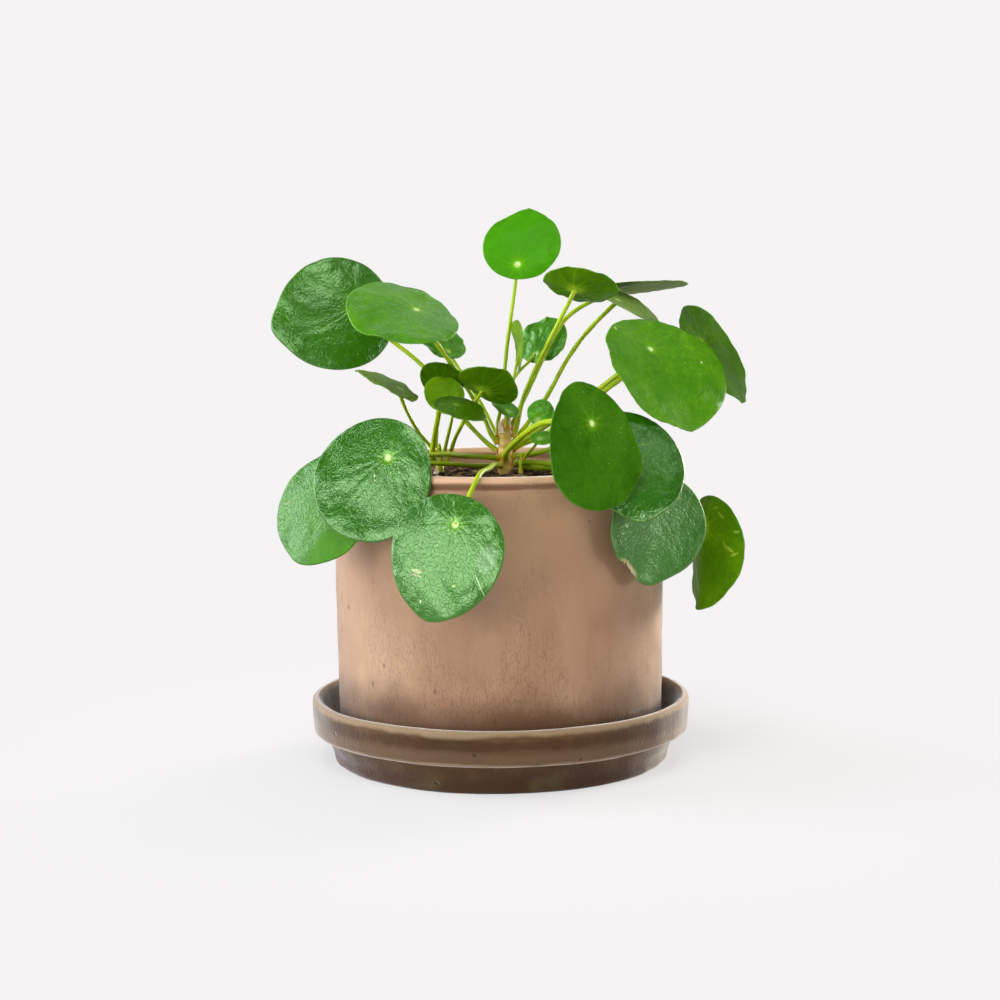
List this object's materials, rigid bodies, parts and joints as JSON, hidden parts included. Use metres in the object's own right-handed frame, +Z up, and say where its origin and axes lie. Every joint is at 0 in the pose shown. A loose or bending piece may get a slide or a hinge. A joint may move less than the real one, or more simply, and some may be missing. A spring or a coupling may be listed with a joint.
{
  "type": "potted pilea plant",
  "caption": "Round-leaved pilea houseplant growing in a straight clay pot with a low collar, standing in a banded clay saucer.",
  "frame": {"origin": "middle of the saucer's flat underside, on the axis of the pot", "axes": "+Z up along the pot's axis, -Y towards the front of the plant, +X to its right"},
  "size_m": [0.2293, 0.2138, 0.2635],
  "materials": {
    "pot_clay": "matt unglazed fired clay with fine upright grain, darker and damp near the foot",
    "saucer_clay": "matt unglazed fired clay, stained darker brown and olive, with a pale worn lip",
    "peat": "crumbly dark potting mix with tan fibres and pale perlite",
    "bark": "woody tan stem with scars and papery pinkish scales",
    "shoot": "young yellow-orange shoot, slightly glossy",
    "leaf_blade": "waxy mid-green leaf with a pale navel dot, fine wrinkles and a thin paler margin; olive underneath",
    "petiole": "smooth yellow-green leaf stalk, orange-brown at the foot"
  },
  "bodies": {
    "root": {"saucer": "saucer_clay", "pot": "pot_clay", "soil": "peat", "main_stem": "bark", "side_stem": "bark", "bud": "shoot", "leaf_01_blade": "leaf_blade", "leaf_01_petiole": "petiole", "leaf_02_blade": "leaf_blade", "leaf_02_petiole": "petiole", "leaf_03_blade": "leaf_blade", "leaf_03_petiole": "petiole", "leaf_04_blade": "leaf_blade", "leaf_04_petiole": "petiole", "leaf_05_blade": "leaf_blade", "leaf_05_petiole": "petiole", "leaf_06_blade": "leaf_blade", "leaf_06_petiole": "petiole", "leaf_07_blade": "leaf_blade", "leaf_07_petiole": "petiole", "leaf_08_blade": "leaf_blade", "leaf_08_petiole": "petiole", "leaf_09_blade": "leaf_blade", "leaf_09_petiole": "petiole", "leaf_10_blade": "leaf_blade", "leaf_10_petiole": "petiole", "leaf_11_blade": "leaf_blade", "leaf_11_petiole": "petiole", "leaf_12_blade": "leaf_blade", "leaf_12_petiole": "petiole", "leaf_13_blade": "leaf_blade", "leaf_13_petiole": "petiole", "leaf_14_blade": "leaf_blade", "leaf_14_petiole": "petiole", "leaf_15_blade": "leaf_blade", "leaf_15_petiole": "petiole", "leaf_16_blade": "leaf_blade", "leaf_16_petiole": "petiole", "leaf_17_blade": "leaf_blade", "leaf_17_petiole": "petiole", "leaf_18_blade": "leaf_blade", "leaf_18_petiole": "petiole", "leaf_19_blade": "leaf_blade", "leaf_19_petiole": "petiole", "leaf_20_blade": "leaf_blade", "leaf_20_petiole": "petiole", "leaf_21_blade": "leaf_blade", "leaf_21_petiole": "petiole", "leaf_22_blade": "leaf_blade", "leaf_22_petiole": "petiole", "leaf_23_blade": "leaf_blade", "leaf_23_petiole": "petiole", "leaf_24_blade": "leaf_blade", "leaf_24_petiole": "petiole", "leaf_25_blade": "leaf_blade", "leaf_25_petiole": "petiole", "leaf_26_blade": "leaf_blade", "leaf_26_petiole": "petiole", "leaf_27_blade": "leaf_blade", "leaf_27_petiole": "petiole"}
  },
  "joints": []
}
